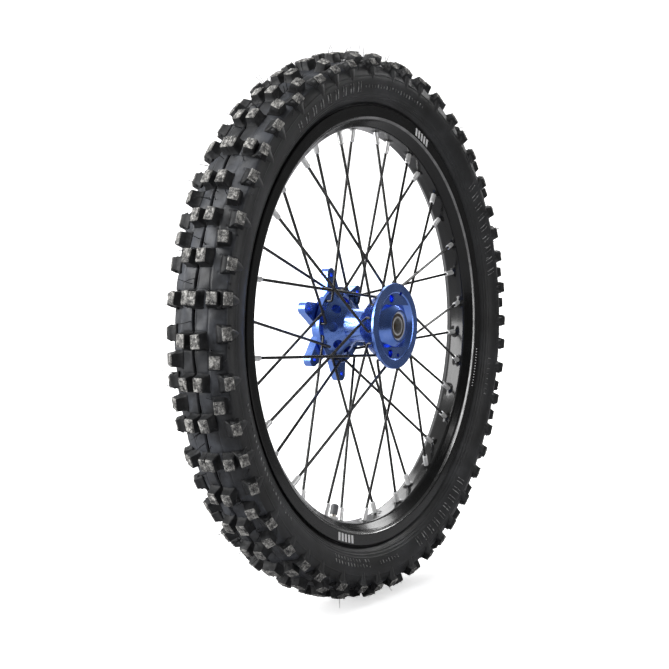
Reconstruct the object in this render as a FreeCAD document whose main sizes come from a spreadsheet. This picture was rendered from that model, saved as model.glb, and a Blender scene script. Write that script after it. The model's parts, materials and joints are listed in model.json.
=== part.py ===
"""Front wheel of an off-road motorcycle: knobbly tyre on a laced 21 x 1.60 rim, billet hub, 36 spokes.

Frame: origin at the centre of the wheel, +Y along the axle towards the brake-disc side (the rider's
left), +X forwards, +Z up. Angles around the wheel run from +X towards +Z. Millimetres throughout.
"""

import FreeCAD
import Part
import Sketcher
import math
import os

V = FreeCAD.Vector
X_DIR, Y_DIR, Z_DIR = V(1, 0, 0), V(0, 1, 0), V(0, 0, 1)
ORIGIN = V(0, 0, 0)

# Depths of cuts that go right through their wall, and how far a cutting tool stands clear of it.
RIM_DRILL_DEPTH = 30
WINDOW_DEPTH = 22
SKIN_DRILL_DEPTH = 8
FLANGE_DRILL_DEPTH = 13
LEG_END_GAP = 0.5
CUT_MARGIN = 1.0

# Driving dimensions. A name ending in _r is a radius about the axle, in _y a distance along the axle
# from the wheel's centre plane, in _deg an angle around the wheel, and in _n a number of pieces.
SIZES = {
    # rim section
    "rim_tip_r": 281.0, "rim_tip_out_y": 25.0, "rim_tip_in_y": 21.2,
    "rim_seat_r": 266.5, "rim_seat_out_y": 20.3, "rim_seat_in_y": 14.0,
    "rim_well_r": 257.5, "rim_well_y": 9.5,
    "rim_bed_r": 253.5, "rim_bed_y": 11.0,
    "rim_lip_r": 262.5, "rim_lip_y": 21.3, "rim_wall_r": 265.0, "rim_wall_y": 23.4,
    # rim drillings
    "nipple_hole_rad": 4.0, "valve_hole_rad": 4.4, "lock_hole_rad": 4.3, "lock_hole_deg": 53.1,
    # tyre carcass, outside then inside
    "tyre_toe_r": 267.5, "tyre_toe_out_y": 19.7, "tyre_toe_in_y": 13.5,
    "tyre_bead_r": 283.2, "tyre_bead_out_y": 20.6, "tyre_fold_r": 286.5, "tyre_fold_y": 26.0,
    "tyre_side_r": 309.0, "tyre_side_y": 38.0,
    "tyre_shoulder_r": 327.0, "tyre_shoulder_y": 35.0, "tyre_crown_r": 337.0,
    "tyre_hip_r": 318.5, "tyre_hip_y": 38.3, "tyre_flank_r": 297.0, "tyre_flank_y": 33.6,
    "cavity_bead_r": 284.0, "cavity_bead_y": 15.0, "cavity_flank_r": 297.5, "cavity_flank_y": 28.6,
    "cavity_side_r": 310.0, "cavity_side_y": 33.6, "cavity_hip_r": 320.0, "cavity_hip_y": 32.0,
    "cavity_shoulder_r": 325.0, "cavity_shoulder_y": 27.0, "cavity_crown_r": 331.5,
    # tread blocks
    "block_row_n": 12.0, "tread_phase_deg": 25.3, "block_draft": 1.6,
    # inner tube and rim band
    "tube_base_r": 268.2, "tube_base_y": 8.0, "tube_neck_r": 283.5, "tube_neck_y": 12.0,
    "tube_flank_r": 298.0, "tube_flank_y": 26.2, "tube_side_r": 310.0, "tube_side_y": 31.6,
    "tube_crown_r": 329.2, "tube_over_r": 320.6, "tube_over_y": 25.0,
    "tube_in_base_r": 270.2, "tube_in_base_y": 6.2, "tube_in_neck_r": 284.5, "tube_in_neck_y": 10.2,
    "tube_in_flank_r": 299.0, "tube_in_flank_y": 24.4, "tube_in_side_r": 310.0, "tube_in_side_y": 29.8,
    "tube_in_crown_r": 327.4, "tube_in_over_r": 319.2, "tube_in_over_y": 23.6,
    "tube_valve_hole_rad": 4.3,
    "band_in_r": 265.3, "band_out_r": 266.6, "band_half_y": 12.2, "band_hole_rad": 5.0,
    # hub, from the right-hand mouth (-Y) to the left-hand mouth (+Y)
    "hub_right_mouth_y": 49.0, "hub_boss_r": 21.0, "hub_boss_edge_r": 21.9, "hub_boss_edge_y": 48.1,
    "hub_boss_root_r": 32.0, "hub_dish_y": 37.5, "hub_dish_r": 38.0,
    "hub_face_edge_r": 42.6, "hub_face_edge_y": 44.0, "hub_face_in_r": 43.8, "hub_face_y": 44.6,
    "hub_face_out_r": 54.4, "hub_right_flange_r": 55.2, "hub_flange_edge_y": 43.8,
    "hub_flange_back_y": 41.0, "hub_flare_r": 46.0, "hub_flare_y": 29.5, "hub_waist_r": 38.0,
    "hub_waist_y": 18.0, "hub_barrel_r": 21.8, "hub_barrel_right_y": 2.0, "hub_barrel_left_y": 22.0,
    "hub_cone_r": 42.0, "hub_left_flange_y": 40.5, "hub_left_flange_r": 50.5,
    "hub_left_edge_r": 49.7, "hub_left_edge_near_y": 41.3, "hub_left_edge_far_y": 46.2,
    "hub_left_flange_out_y": 47.0, "hub_drum_r": 44.0, "hub_drum_edge_r": 43.2,
    "hub_drum_edge_y": 57.2, "hub_drum_y": 58.0, "hub_drum_in_r": 37.0,
    "hub_pocket_y": 50.0, "hub_left_boss_r": 25.0, "hub_left_mouth_y": 59.5, "hub_core_r": 15.5,
    "hub_seat_rad": 18.55,
    "hub_land_z": 27.0, "hub_land_in_y": 36.0, "hub_land_out_y": 43.4, "hub_land_rad": 43.4,
    "hub_land_hole_rad": 5.2, "hub_land_screw_rad": 2.7, "hub_land_screw_depth": 6.0,
    "hub_window_rad": 6.4, "hub_window_n": 8.0, "hub_window_deg": 5.0,
    "hub_window_r": 33.5, "hub_window_y": 30.5,
    # brake-disc carrier arms
    "arm_n": 6.0, "arm_deg": 42.0, "arm_root_r": 41.0, "arm_root_half": 16.0, "arm_tip_r": 68.0,
    "arm_tip_half": 8.5, "arm_back_y": 48.0, "arm_face_y": 59.0, "disc_bolt_r": 67.0,
    "disc_bolt_rad": 3.0,
    # spokes and nipples
    "spoke_group_n": 9.0, "spoke_phase_deg": 8.1, "spoke_cross_deg": 40.0, "spoke_rad": 1.8,
    "spoke_bend": 3.0, "spoke_end_gap": 4.0, "spoke_hole_rad": 2.25,
    "right_outer_hole_r": 50.0, "right_outer_elbow_y": 32.6, "right_outer_leg_y": 39.5,
    "right_inner_hole_r": 47.0, "right_inner_elbow_y": 27.4, "right_inner_leg_y": 38.0,
    "left_outer_hole_r": 47.0, "left_outer_elbow_y": 37.9, "left_outer_leg_y": 45.0,
    "left_inner_hole_r": 46.0, "left_inner_elbow_y": 32.7, "left_inner_leg_y": 45.0,
    "outer_nipple_y": 4.0, "inner_nipple_y": 2.4,
    "nipple_seat_r": 257.5, "nipple_rad": 3.4, "nipple_bore": 2.0,
    "nipple_shank": 21.0, "nipple_head_rad": 5.0, "nipple_lift": 1.6, "nipple_neck": 3.4,
    "nipple_head_top": 4.8, "nipple_nose_rad": 2.9, "nipple_body": 19.8,
    # valve
    "valve_deg": -106.9, "valve_tip_r": 237.2, "valve_foot_r": 270.5, "valve_top_r": 272.3,
    "valve_rad": 3.8, "valve_bore": 2.5, "valve_foot_rad": 5.8,
    "valve_core_rad": 1.2, "valve_core_head_rad": 2.3, "valve_core_tip_r": 238.0,
    "valve_core_head_r": 243.0, "valve_core_top_r": 254.0,
    "cap_end_r": 234.0, "cap_mouth_r": 247.0, "cap_rad": 4.9, "cap_bore": 4.0, "cap_roof_r": 236.3,
    "cap_round_rad": 3.2, "cap_round_r": 235.9,
    "nut_in_r": 249.6, "nut_out_r": 252.9, "nut_flat_half": 6.0, "nut_bore": 4.0,
    # bearings, 20 x 37 x 9, and the spacer tube between them
    "bearing_width": 9.0, "bearing_right_y": -42.0, "bearing_left_y": 51.5,
    "race_out_rad": 18.5, "race_out_in_rad": 16.2, "race_in_rad": 10.0, "race_in_out_rad": 12.3,
    "ball_n": 11.0, "ball_rad": 2.6, "ball_pitch_rad": 14.25, "groove_rad": 2.72,
    "cage_in_rad": 13.6, "cage_out_rad": 14.9, "cage_half": 3.3, "cage_pocket_rad": 2.8,
    "seal_out_rad": 16.1, "seal_in_rad": 12.6, "seal_near": 3.6, "seal_far": 4.3,
    "spacer_rad": 12.2, "spacer_end_gap": 0.05,
}

doc = FreeCAD.newDocument("spoked_wheel")
sheet = doc.addObject("Spreadsheet::Sheet", "Sizes")
for row, (alias, number) in enumerate(SIZES.items(), start=1):
    sheet.set("A%d" % row, alias)
    sheet.set("B%d" % row, str(number))
    sheet.setAlias("B%d" % row, alias)
doc.recompute()


def size(term):
    """Value of a sheet cell, of its negative when the name has a minus sign, or zero for '0'."""
    if term == "0":
        return 0.0
    if term.startswith("-"):
        return -sheet.get(term[1:])
    return sheet.get(term)


def linked(term):
    """The same cell as a FreeCAD expression."""
    return "-Sizes." + term[1:] if term.startswith("-") else "Sizes." + term


def polar(radius, degrees, y):
    """Point at a radius and an angle around the wheel."""
    angle = math.radians(degrees)
    return V(radius * math.cos(angle), y, radius * math.sin(angle))


# ---------------------------------------------------------------- sketch and feature helpers

def new_body(label):
    body = doc.addObject("PartDesign::Body", label)
    body.Label = label
    body.AllowCompound = True
    return body


def origin_part(body, role):
    return next(item for item in body.Origin.OriginFeatures if item.Role == role)


def new_sketch(body, name, placement=None):
    """Sketch on the body's own XY plane: X is a radius and Y the axle unless a placement says else."""
    sketch = body.newObject("Sketcher::SketchObject", name)
    sketch.AttachmentSupport = [(origin_part(body, "XY_Plane"), "")]
    sketch.MapMode = "FlatFace"
    if placement is not None:
        sketch.AttachmentOffset = placement
    return sketch


def pin_point(sketch, geometry, position, x_term, y_term):
    """Ties one end of a line or arc to two cells of the sheet."""
    for kind, term in (("DistanceX", x_term), ("DistanceY", y_term)):
        index = sketch.addConstraint(
            Sketcher.Constraint(kind, -1, 1, geometry, position, size(term)))
        if term != "0":
            sketch.setExpression("Constraints[%d]" % index, linked(term))


def outline(sketch, points):
    """Closed outline. A point is (x, y), or (x, y, 'via') for a point that an arc passes through."""
    flat = [V(size(p[0]), size(p[1]), 0) for p in points]
    corners = [i for i, p in enumerate(points) if len(p) == 2]
    edges = []
    for here, there in zip(corners, corners[1:] + corners[:1]):
        middle = (here + 1) % len(points)
        if middle == there:
            edge = sketch.addGeometry(Part.LineSegment(flat[here], flat[there]))
            edges.append((edge, 1, 2, here))
            continue
        arc = Part.ArcOfCircle(flat[here], flat[middle], flat[there])
        edge = sketch.addGeometry(arc)
        ends = (1, 2) if arc.Axis.z > 0 else (2, 1)
        edges.append((edge, ends[0], ends[1], here))
        mark = sketch.addGeometry(Part.Point(flat[middle]), True)
        sketch.addConstraint(Sketcher.Constraint("PointOnObject", mark, 1, edge))
        pin_point(sketch, mark, 1, points[middle][0], points[middle][1])
    for (edge, _, end, _), (following, start, _, _) in zip(edges, edges[1:] + edges[:1]):
        sketch.addConstraint(Sketcher.Constraint("Coincident", edge, end, following, start))
    for edge, start, _, corner in edges:
        pin_point(sketch, edge, start, points[corner][0], points[corner][1])


def mirrored(half):
    """A half section given from the +Y side, continued with its mirror image in the centre plane."""
    other = []
    for point in reversed(half):
        if point[1] != "0":
            flipped = point[1][1:] if point[1].startswith("-") else "-" + point[1]
            other.append((point[0], flipped) + tuple(point[2:]))
    return other


def revolve(body, sketch, cut=False):
    """Turns a section about the sketch's vertical axis, to add material or to remove it."""
    kind = "PartDesign::Groove" if cut else "PartDesign::Revolution"
    turned = body.newObject(kind, sketch.Name + "_turned")
    turned.Profile = sketch
    turned.ReferenceAxis = (sketch, ["V_Axis"])
    turned.Angle = 360
    doc.recompute()
    return turned


def circle(sketch, radius_term, x=0.0, y=0.0):
    index = sketch.addGeometry(Part.Circle(V(x, y, 0), Z_DIR, size(radius_term)))
    rule = sketch.addConstraint(Sketcher.Constraint("Radius", index, size(radius_term)))
    sketch.setExpression("Constraints[%d]" % rule, linked(radius_term))
    sketch.addConstraint(Sketcher.Constraint("DistanceX", -1, 1, index, 3, x))
    sketch.addConstraint(Sketcher.Constraint("DistanceY", -1, 1, index, 3, y))


def pocket(body, sketch, depth):
    """Cut of a fixed depth on both sides of its sketch."""
    before = body.Shape.Volume
    cut = body.newObject("PartDesign::Pocket", sketch.Name + "_cut")
    cut.Profile = sketch
    cut.Midplane = True
    cut.Length = depth
    doc.recompute()
    if not body.Shape.Volume < before:
        raise RuntimeError(sketch.Name + " cuts nothing")
    return cut


def blind_pocket(body, sketch, lacing):
    """Hole for a spoke's leg, from the sketch at the leg's end towards the wheel's middle."""
    before = body.Shape.Volume
    cut = body.newObject("PartDesign::Pocket", sketch.Name + "_cut")
    cut.Profile = sketch
    cut.Length = FLANGE_DRILL_DEPTH
    cut.Reversed = lacing.side < 0
    doc.recompute()
    if not body.Shape.Volume < before:
        raise RuntimeError(sketch.Name + " cuts nothing")
    return cut


def ring_of(body, features, count_term):
    """Repeats features evenly around the axle."""
    pattern = body.newObject("PartDesign::PolarPattern", features[0].Name + "_ring")
    pattern.Originals = features
    pattern.Axis = (origin_part(body, "Y_Axis"), [""])
    pattern.Angle = 360
    pattern.Occurrences = int(size(count_term))
    pattern.setExpression("Occurrences", linked(count_term))
    body.Tip = pattern
    doc.recompute()
    return pattern


def facing(direction, point, across=Y_DIR):
    """Placement whose local Z runs along a direction through a point."""
    z_axis = V(direction).normalize()
    x_axis = across.cross(z_axis).normalize()
    y_axis = z_axis.cross(x_axis)
    frame = FreeCAD.Matrix(x_axis.x, y_axis.x, z_axis.x, point.x,
                           x_axis.y, y_axis.y, z_axis.y, point.y,
                           x_axis.z, y_axis.z, z_axis.z, point.z,
                           0, 0, 0, 1)
    return FreeCAD.Placement(frame)


def along(direction, point, side):
    """Placement whose local Y runs along a direction through a point, and local Z along a side."""
    y_axis = V(direction).normalize()
    x_axis = y_axis.cross(side).normalize()
    z_axis = x_axis.cross(y_axis)
    frame = FreeCAD.Matrix(x_axis.x, y_axis.x, z_axis.x, point.x,
                           x_axis.y, y_axis.y, z_axis.y, point.y,
                           x_axis.z, y_axis.z, z_axis.z, point.z,
                           0, 0, 0, 1)
    return FreeCAD.Placement(frame)


# ---------------------------------------------------------------- lacing: where each spoke runs

class Lacing:
    """One of the four spoke groups: a side of the wheel, a pulling direction and a layer.

    The spokes of the outer layer bend close to the flange and those of the inner layer nearer the
    wheel's middle, so that the two groups of a side cross without touching.
    """

    def __init__(self, name, turn, layer, nipple_deg):
        self.name = name
        side_name = name.split("_")[0]
        self.side = -1 if side_name == "right" else 1
        start = side_name + "_" + layer
        hole_deg = nipple_deg + turn * size("spoke_cross_deg")
        hole_r = size(start + "_hole_r")
        self.elbow = polar(hole_r, hole_deg, self.side * size(start + "_elbow_y"))
        self.leg_end = polar(hole_r, hole_deg, self.side * size(start + "_leg_y"))
        self.seat = polar(size("nipple_seat_r"), nipple_deg, self.side * size(layer + "_nipple_y"))
        self.direction = (self.seat - self.elbow).normalize()


PHASE = size("spoke_phase_deg")
LACINGS = [
    Lacing("right_leading", 1, "outer", PHASE + 20),
    Lacing("right_trailing", -1, "inner", PHASE),
    Lacing("left_leading", 1, "inner", PHASE + 10),
    Lacing("left_trailing", -1, "outer", PHASE + 30),
]


# ---------------------------------------------------------------- rim, tyre, tube and band

def make_rim():
    body = new_body("rim")
    half = [
        ("rim_well_r", "rim_well_y"), ("rim_seat_r", "rim_seat_in_y"),
        ("rim_seat_r", "rim_seat_out_y"), ("rim_tip_r", "rim_tip_in_y"),
        ("rim_tip_r", "rim_tip_out_y"), ("rim_wall_r", "rim_wall_y"),
        ("rim_lip_r", "rim_lip_y"), ("rim_bed_r", "rim_bed_y"),
    ]
    sketch = new_sketch(body, "rim_section")
    outline(sketch, half + mirrored(half))
    revolve(body, sketch)
    for lacing in LACINGS:
        hole = new_sketch(body, "nipple_hole_" + lacing.name, facing(lacing.direction, lacing.seat))
        circle(hole, "nipple_hole_rad")
        ring_of(body, [pocket(body, hole, RIM_DRILL_DEPTH)], "spoke_group_n")
    for name, radius, degrees in (("valve_hole", "valve_hole_rad", size("valve_deg")),
                                  ("lock_hole", "lock_hole_rad", size("lock_hole_deg"))):
        point = polar(size("rim_bed_r"), degrees, 0)
        hole = new_sketch(body, name, facing(point, point))
        circle(hole, radius)
        pocket(body, hole, RIM_DRILL_DEPTH)
    return body


def tyre_section():
    outside = [
        ("tyre_toe_r", "tyre_toe_in_y"), ("tyre_toe_r", "tyre_toe_out_y"),
        ("tyre_bead_r", "tyre_bead_out_y"), ("tyre_fold_r", "tyre_fold_y"),
        ("tyre_flank_r", "tyre_flank_y", "via"), ("tyre_side_r", "tyre_side_y"),
        ("tyre_hip_r", "tyre_hip_y", "via"), ("tyre_shoulder_r", "tyre_shoulder_y"),
    ]
    inside = [
        ("cavity_shoulder_r", "cavity_shoulder_y"), ("cavity_hip_r", "cavity_hip_y", "via"),
        ("cavity_side_r", "cavity_side_y"), ("cavity_flank_r", "cavity_flank_y", "via"),
        ("cavity_bead_r", "cavity_bead_y"),
    ]
    return (outside + [("tyre_crown_r", "0", "via")] + mirrored(outside)
            + mirrored(inside) + [("cavity_crown_r", "0", "via")] + inside)


# Tread blocks in one twelfth of the tread: degrees from the row, distance of the block's middle from
# the centre plane, lean outwards in degrees, width, length around the tyre, radius of the top, and
# height from the root, which is buried in the carcass, to the top.
BLOCKS = [
    (0.0, 4.8, 2, 8.6, 14.0, 348.5, 15.0),
    (7.5, 10.0, 5, 10.5, 14.5, 348.0, 15.0),
    (15.0, 10.0, 5, 10.5, 14.5, 348.0, 15.0),
    (22.5, 10.0, 5, 10.5, 14.5, 348.0, 15.0),
    (0.0, 27.5, 24, 10.5, 13.0, 344.0, 15.0),
    (11.0, 31.0, 30, 10.5, 13.0, 342.5, 15.0),
    (19.0, 31.0, 30, 10.5, 13.0, 342.5, 15.0),
    (0.0, 41.5, 55, 9.5, 13.0, 333.0, 12.0),
    (6.2, 41.5, 55, 9.5, 13.0, 333.0, 12.0),
    (15.0, 41.5, 55, 9.5, 13.0, 333.0, 12.0),
    (23.6, 41.5, 55, 9.5, 13.0, 333.0, 12.0),
]


def level_rectangle(half_width, half_length, level):
    """Rectangle across the block's own axis, which is X until the block is put in its place."""
    corners = [V(level, -half_width, -half_length), V(level, half_width, -half_length),
               V(level, half_width, half_length), V(level, -half_width, half_length)]
    return Part.makePolygon(corners + corners[:1])


def tread_block(degrees, y, lean, width, length, top_r, height, side):
    """One tapered block, standing on the carcass with its top at the given place."""
    draft = size("block_draft")
    root = level_rectangle(width / 2 + draft, length / 2 + draft, -height)
    top = level_rectangle(width / 2, length / 2, 0)
    block = Part.makeLoft([root, top], True, True)
    block.rotate(ORIGIN, Z_DIR, side * lean)
    block.translate(V(top_r, side * y, 0))
    block.rotate(ORIGIN, Y_DIR, -degrees)
    return block


def make_tyre():
    """Carcass turned from its section, with the tread blocks standing on it."""
    carcass = new_body("tyre_carcass")
    sketch = new_sketch(carcass, "tyre_section")
    outline(sketch, tyre_section())
    revolve(carcass, sketch)
    blocks = []
    rows = int(size("block_row_n"))
    for row in range(rows):
        start = size("tread_phase_deg") + row * 360.0 / rows
        for degrees, *shape in BLOCKS:
            for side in (-1, 1):
                blocks.append(tread_block(start + degrees, *shape, side))
    tyre = doc.addObject("Part::Feature", "tyre")
    tyre.Label = "tyre"
    tyre.Shape = carcass.Shape.multiFuse(blocks)
    return tyre


def make_inner_tube():
    """Inflated tube, hollow, with the hole that its valve comes out of."""
    body = new_body("inner_tube")
    for name, start, cut in (("tube_skin", "tube_", False), ("tube_air", "tube_in_", True)):
        half = [
            (start + "over_r", start + "over_y", "via"), (start + "side_r", start + "side_y"),
            (start + "flank_r", start + "flank_y"), (start + "neck_r", start + "neck_y"),
            (start + "base_r", start + "base_y"),
        ]
        sketch = new_sketch(body, name)
        outline(sketch, [(start + "crown_r", "0")] + half + mirrored(half))
        revolve(body, sketch, cut)
    point = polar(size("tube_base_r"), size("valve_deg"), 0)
    hole = new_sketch(body, "tube_valve_hole", facing(point, point))
    circle(hole, "tube_valve_hole_rad")
    pocket(body, hole, SKIN_DRILL_DEPTH)
    return body


def make_rim_band():
    body = new_body("rim_band")
    sketch = new_sketch(body, "band_section")
    half = [("band_out_r", "band_half_y"), ("band_in_r", "band_half_y")]
    outline(sketch, half + mirrored(half))
    revolve(body, sketch)
    point = polar(size("band_in_r"), size("valve_deg"), 0)
    hole = new_sketch(body, "band_valve_hole", facing(point, point))
    circle(hole, "band_hole_rad")
    pocket(body, hole, SKIN_DRILL_DEPTH)
    return body


# ---------------------------------------------------------------- hub

def hub_body_section():
    """Outside of the hub from the left mouth to the right mouth, then back along the bore."""
    return [
        ("hub_core_r", "hub_left_mouth_y"), ("hub_left_boss_r", "hub_left_mouth_y"),
        ("hub_left_boss_r", "hub_pocket_y"), ("hub_drum_in_r", "hub_pocket_y"),
        ("hub_drum_in_r", "hub_drum_y"), ("hub_drum_edge_r", "hub_drum_y"),
        ("hub_drum_r", "hub_drum_edge_y"), ("hub_drum_r", "hub_left_flange_out_y"),
        ("hub_left_edge_r", "hub_left_flange_out_y"), ("hub_left_flange_r", "hub_left_edge_far_y"),
        ("hub_left_flange_r", "hub_left_edge_near_y"), ("hub_left_edge_r", "hub_left_flange_y"),
        ("hub_cone_r", "hub_left_flange_y"), ("hub_barrel_r", "hub_barrel_left_y"),
        ("hub_barrel_r", "-hub_barrel_right_y"), ("hub_waist_r", "-hub_waist_y"),
        ("hub_flare_r", "-hub_flare_y"), ("hub_right_flange_r", "-hub_flange_back_y"),
        ("hub_right_flange_r", "-hub_flange_edge_y"), ("hub_face_out_r", "-hub_face_y"),
        ("hub_face_in_r", "-hub_face_y"), ("hub_face_edge_r", "-hub_face_edge_y"),
        ("hub_dish_r", "-hub_dish_y"), ("hub_boss_root_r", "-hub_dish_y"),
        ("hub_boss_edge_r", "-hub_boss_edge_y"), ("hub_boss_r", "-hub_right_mouth_y"),
        ("hub_core_r", "-hub_right_mouth_y"),
    ]


def make_hub():
    body = new_body("hub_turned")
    sketch = new_sketch(body, "hub_section")
    outline(sketch, hub_body_section())
    revolve(body, sketch)
    bearing_half = size("bearing_width") / 2
    for side, name in ((-1, "right"), (1, "left")):
        centre = size("bearing_%s_y" % name)
        mouth = side * size("hub_%s_mouth_y" % name)
        inner_end = centre - side * bearing_half
        seat = new_sketch(body, name + "_bearing_seat", facing(Y_DIR, V(0, mouth, 0), X_DIR))
        circle(seat, "hub_seat_rad")
        pocket(body, seat, 2 * abs(mouth - inner_end))
    window_point = polar(size("hub_window_r"), size("hub_window_deg"), size("hub_window_y"))
    normal = polar(1, size("hub_window_deg"), 0) - Y_DIR
    window = new_sketch(body, "drum_window", facing(normal, window_point))
    circle(window, "hub_window_rad")
    ring_of(body, [pocket(body, window, WINDOW_DEPTH)], "hub_window_n")
    for lacing in LACINGS:
        hole = new_sketch(body, "spoke_hole_" + lacing.name,
                          facing(Y_DIR, lacing.leg_end + Y_DIR * lacing.side * LEG_END_GAP, X_DIR))
        circle(hole, "spoke_hole_rad")
        ring_of(body, [blind_pocket(body, hole, lacing)], "spoke_group_n")
    return body


# Places of the round holes in the two lands of the right face, as (x, z).
LAND_HOLES = [(-11.0, 35.0), (-12.0, -35.0)]
LAND_SCREWS = [(10.5, 41.5), (7.0, -37.5)]


def make_lands():
    """Raised lands above and below the bearing on the right face, before they are drilled."""
    radius, gap_z = size("hub_land_rad"), size("hub_land_z")
    inner, outer = size("hub_land_in_y"), size("hub_land_out_y")
    disc = Part.makeCylinder(radius, outer - inner, V(0, -outer, 0), Y_DIR)
    gap = Part.makeBox(2 * radius, outer, 2 * gap_z, V(-radius, -outer - CUT_MARGIN, -gap_z))
    return disc.cut(gap)


def land_drills():
    """Cutting tools for the through holes and the blind screw holes of the lands."""
    face_y = -size("hub_face_y") - CUT_MARGIN
    tools = []
    for x, z in LAND_HOLES:
        tools.append(Part.makeCylinder(size("hub_land_hole_rad"), -face_y, V(x, face_y, z), Y_DIR))
    for x, z in LAND_SCREWS:
        depth = size("hub_land_screw_depth") + CUT_MARGIN
        tools.append(Part.makeCylinder(size("hub_land_screw_rad"), depth, V(x, face_y, z), Y_DIR))
    return tools


def carrier_arm(index):
    """One tapering arm of the brake-disc carrier with its threaded hole."""
    root_r, tip_r = size("arm_root_r"), size("arm_tip_r")
    root_half, tip_half = size("arm_root_half"), size("arm_tip_half")
    back, face = size("arm_back_y"), size("arm_face_y")
    corners = [V(root_r, back, -root_half), V(tip_r, back, -tip_half)]
    far_corners = [V(tip_r, back, tip_half), V(root_r, back, root_half)]
    nose = Part.Arc(corners[1], V(tip_r + tip_half, back, 0), far_corners[0]).toShape()
    edges = [Part.makeLine(corners[0], corners[1]), nose,
             Part.makeLine(far_corners[0], far_corners[1]), Part.makeLine(far_corners[1], corners[0])]
    arm = Part.Face(Part.Wire(edges)).extrude(V(0, face - back, 0))
    bolt = Part.makeCylinder(size("disc_bolt_rad"), face - back + 2 * CUT_MARGIN,
                             V(size("disc_bolt_r"), back - CUT_MARGIN, 0), Y_DIR)
    arm = arm.cut(bolt)
    arm.rotate(ORIGIN, Y_DIR, -size("arm_deg") - index * 360.0 / size("arm_n"))
    return arm


def make_hub_shell():
    """The turned hub with its carrier arms and lands, one machined piece."""
    arms = [carrier_arm(index) for index in range(int(size("arm_n")))]
    shell = make_hub().Shape.multiFuse(arms + [make_lands()])
    shell = shell.cut(Part.makeCompound(land_drills()))
    hub = doc.addObject("Part::Feature", "hub_shell")
    hub.Label = "hub_shell"
    hub.Shape = shell.removeSplitter()
    return hub


# ---------------------------------------------------------------- spokes and nipples

def spoke(lacing):
    """Straight wire from the nipple, a tight elbow, and a short leg into the hub flange."""
    bend, radius = size("spoke_bend"), size("spoke_rad")
    outward = Y_DIR * lacing.side
    corner = lacing.elbow
    cosine = lacing.direction.dot(outward)
    setback = bend / math.tan(math.acos(cosine) / 2)
    wire_start = corner + lacing.direction * setback
    leg_start = corner + outward * setback
    bisector = (lacing.direction + outward).normalize()
    half_turn = math.acos(cosine) / 2
    middle = corner + bisector * (bend / math.sin(half_turn) - bend)
    wire_end = lacing.seat - lacing.direction * size("spoke_end_gap")
    path = Part.Wire([Part.makeLine(wire_end, wire_start),
                      Part.Arc(wire_start, middle, leg_start).toShape(),
                      Part.makeLine(leg_start, lacing.leg_end)])
    section = Part.Wire([Part.makeCircle(radius, wire_end, lacing.direction)])
    return path.makePipeShell([section], True, True)


def make_spokes(lacing):
    """The nine spokes of one group."""
    count = int(size("spoke_group_n"))
    first = spoke(lacing)
    copies = []
    for index in range(count):
        copy = first.copy()
        copy.rotate(ORIGIN, Y_DIR, index * 360.0 / count)
        copies.append(copy)
    spokes = doc.addObject("Part::Feature", "spokes_" + lacing.name)
    spokes.Label = "spokes_" + lacing.name
    spokes.Shape = Part.makeCompound(copies)
    return spokes


def make_nipples(lacing):
    """The nine nipples of one group, heads up in the rim well."""
    body = new_body("nipples_" + lacing.name)
    side = Y_DIR.cross(lacing.direction)
    sketch = new_sketch(body, "nipple_section_" + lacing.name,
                        along(lacing.direction, lacing.seat, side))
    outline(sketch, [
        ("nipple_bore", "-nipple_shank"), ("nipple_nose_rad", "-nipple_shank"),
        ("nipple_rad", "-nipple_body"), ("nipple_rad", "nipple_lift"),
        ("nipple_head_rad", "nipple_neck"), ("nipple_head_rad", "nipple_head_top"),
        ("nipple_bore", "nipple_head_top"),
    ])
    turned = revolve(body, sketch)
    ring_of(body, [turned], "spoke_group_n")
    return body


# ---------------------------------------------------------------- valve

def on_valve_axis(body, name, points):
    """Turns a section about the valve's own axis. Heights in it are radii about the axle."""
    direction = polar(1, size("valve_deg"), 0)
    sketch = new_sketch(body, name, along(direction, ORIGIN, Y_DIR))
    outline(sketch, points)
    revolve(body, sketch)
    return body


def make_valve():
    stem = on_valve_axis(new_body("valve_stem"), "stem_section", [
        ("valve_bore", "valve_tip_r"), ("valve_rad", "valve_tip_r"),
        ("valve_rad", "valve_foot_r"), ("valve_foot_rad", "valve_foot_r"),
        ("valve_foot_rad", "valve_top_r"), ("valve_bore", "valve_top_r"),
    ])
    core = on_valve_axis(new_body("valve_core"), "core_section", [
        ("0", "valve_core_tip_r"), ("valve_core_rad", "valve_core_tip_r"),
        ("valve_core_rad", "valve_core_head_r"), ("valve_core_head_rad", "valve_core_head_r"),
        ("valve_core_head_rad", "valve_core_top_r"), ("0", "valve_core_top_r"),
    ])
    cap = on_valve_axis(new_body("valve_cap"), "cap_section", [
        ("0", "cap_end_r"), ("cap_round_rad", "cap_end_r"), ("cap_rad", "cap_round_r"),
        ("cap_rad", "cap_mouth_r"), ("cap_bore", "cap_mouth_r"), ("cap_bore", "cap_roof_r"),
        ("0", "cap_roof_r"),
    ])
    nut = doc.addObject("Part::Prism", "nut_blank")
    nut.Polygon = 6
    nut.Circumradius = size("nut_flat_half") / math.cos(math.pi / 6)
    nut.Height = size("nut_out_r") - size("nut_in_r")
    bore = doc.addObject("Part::Cylinder", "nut_bore")
    bore.setExpression("Radius", linked("nut_bore"))
    bore.setExpression("Height", "Sizes.nut_out_r - Sizes.nut_in_r")
    for item in (nut, bore):
        item.Placement = facing(polar(1, size("valve_deg"), 0),
                                polar(size("nut_in_r"), size("valve_deg"), 0))
    valve_nut = doc.addObject("Part::Cut", "valve_nut")
    valve_nut.Base = nut
    valve_nut.Tool = bore
    valve_nut.Label = "valve_nut"
    doc.recompute()
    return [stem, core, cap, valve_nut]


# ---------------------------------------------------------------- bearings

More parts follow.
